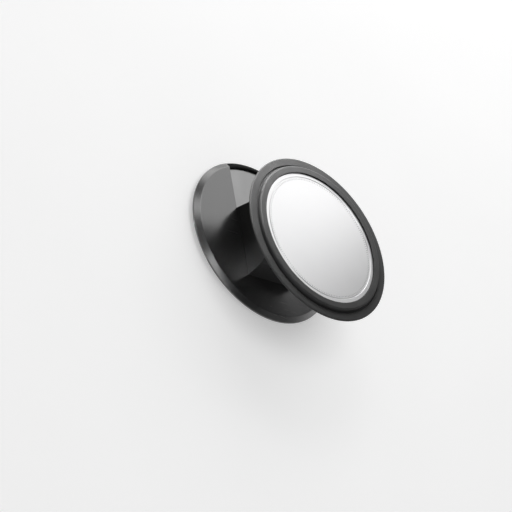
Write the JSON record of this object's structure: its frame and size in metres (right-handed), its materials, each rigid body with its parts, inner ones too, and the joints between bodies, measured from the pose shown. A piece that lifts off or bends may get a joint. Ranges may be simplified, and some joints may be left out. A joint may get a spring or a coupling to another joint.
{
  "type": "magnetic phone holder",
  "caption": "Round magnetic base with a hinge bracket that carries a tilting magnetic disc with a rubber ring and a satin plate, to grip or prop a handset.",
  "frame": {"origin": "centre of the base's contact face", "axes": "+Z out of the base through the disc, +X along the hinge pin, +Y towards the part of the base that the disc leaves free"},
  "size_m": [0.0578, 0.0691, 0.0281],
  "materials": {
    "gloss_black": "polished black, mirror-like",
    "tray_black": "satin black anodised dish",
    "pad_rubber": "matt soft contact pad",
    "stop_rubber": "matt black soft stop",
    "magnet_nickel": "nickel-plated magnet",
    "yoke_steel": "cold-rolled sheet",
    "bracket_black": "glossy black",
    "hinge_steel": "turned steel",
    "washer_polymer": "dark bearing plastic",
    "shell_black": "fine spark-eroded texture",
    "tape_grey": "adhesive film",
    "plate_silver": "bead-blasted satin",
    "ring_rubber": "matt silicone rubber"
  },
  "bodies": {
    "base": {"base_pad": "pad_rubber", "base_tray": "tray_black", "base_magnets": "magnet_nickel", "base_yoke": "yoke_steel", "base_cover": "gloss_black", "rim_stop": "stop_rubber", "neck_bracket": "bracket_black", "bracket_screws": "hinge_steel", "hinge_pin": "hinge_steel", "hinge_nut": "hinge_steel", "spring_washers": "hinge_steel", "friction_washers": "washer_polymer", "pin_caps": "bracket_black"},
    "disc": {"hinge_knuckle": "bracket_black", "knuckle_screws": "hinge_steel", "disc_shell": "shell_black", "disc_yoke": "yoke_steel", "disc_magnets": "magnet_nickel", "plate_tape": "tape_grey", "face_plate": "plate_silver", "rubber_ring": "ring_rubber"}
  },
  "joints": [
    {"name": "disc_tilt", "type": "hinge", "parent": "base", "child": "disc", "pos_m": [0, -0.0027, 0.0146], "axis": [1, 0, 0], "range_deg": [-40, 30]}
  ]
}
